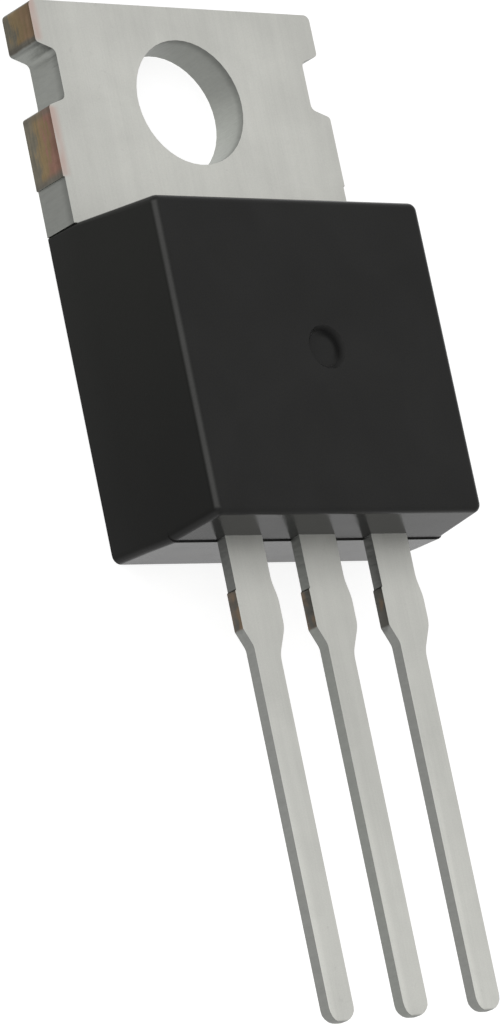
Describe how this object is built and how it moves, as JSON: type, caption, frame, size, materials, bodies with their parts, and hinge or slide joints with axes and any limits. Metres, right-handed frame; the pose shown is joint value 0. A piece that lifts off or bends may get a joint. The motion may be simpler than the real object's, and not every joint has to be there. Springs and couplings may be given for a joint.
{
  "type": "voltage regulator",
  "caption": "Linear voltage regulator: black moulded body on a tinned copper tab with a mounting hole, and a row of straight flat leads.",
  "frame": {"origin": "centre of the mounting hole on the back face of the tab", "axes": "+Z out of the front face, square to the tab; +Y towards the tab's end, the leads run towards -Y; +X to the output lead"},
  "size_m": [0.0098, 0.029, 0.0044],
  "materials": {
    "mould_compound": "fine matt grain of a black epoxy moulding",
    "tinned_copper": "matt tin over rolled copper with fine lines along the strip, bare copper where it was sheared",
    "silicon": "polished die",
    "solder": "dull solder",
    "bond_wire": "bright drawn wire"
  },
  "bodies": {
    "root": {"moulded_body": "mould_compound", "heat_sink_tab": "tinned_copper", "input_lead": "tinned_copper", "output_lead": "tinned_copper", "solder_layer": "solder", "regulator_die": "silicon", "input_wire": "bond_wire", "output_wire": "bond_wire", "ground_wire": "bond_wire"}
  },
  "joints": []
}
